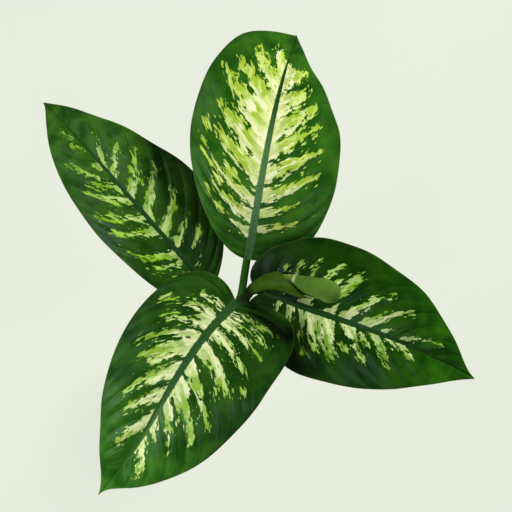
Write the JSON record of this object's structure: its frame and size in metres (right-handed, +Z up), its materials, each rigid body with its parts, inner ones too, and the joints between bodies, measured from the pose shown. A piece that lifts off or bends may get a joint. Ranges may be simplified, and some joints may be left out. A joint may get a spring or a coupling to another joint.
{
  "type": "potted plant",
  "caption": "Dumb cane house plant in a plain clay pot: broad variegated leaves on curved stalks round a short cane, with a young leaf still rolled up.",
  "frame": {"origin": "centre of the underside of the pot, on the surface that the pot stands on", "axes": "+Z up; +X to the right and +Y away from a person who looks down on the plant as in the picture"},
  "size_m": [0.4215, 0.4465, 0.4749],
  "materials": {
    "clay": "matte",
    "soil": "matte",
    "cane": "satin",
    "leaf": "satin",
    "young_stalk": "satin",
    "young_leaf": "satin"
  },
  "bodies": {
    "root": {"pot": "clay", "soil": "soil", "cane": "cane", "leaf_left": "leaf", "leaf_back": "leaf", "leaf_right": "leaf", "leaf_front": "leaf", "young_leaf_hood": "young_stalk", "young_leaf_roll": "young_leaf"}
  },
  "joints": []
}
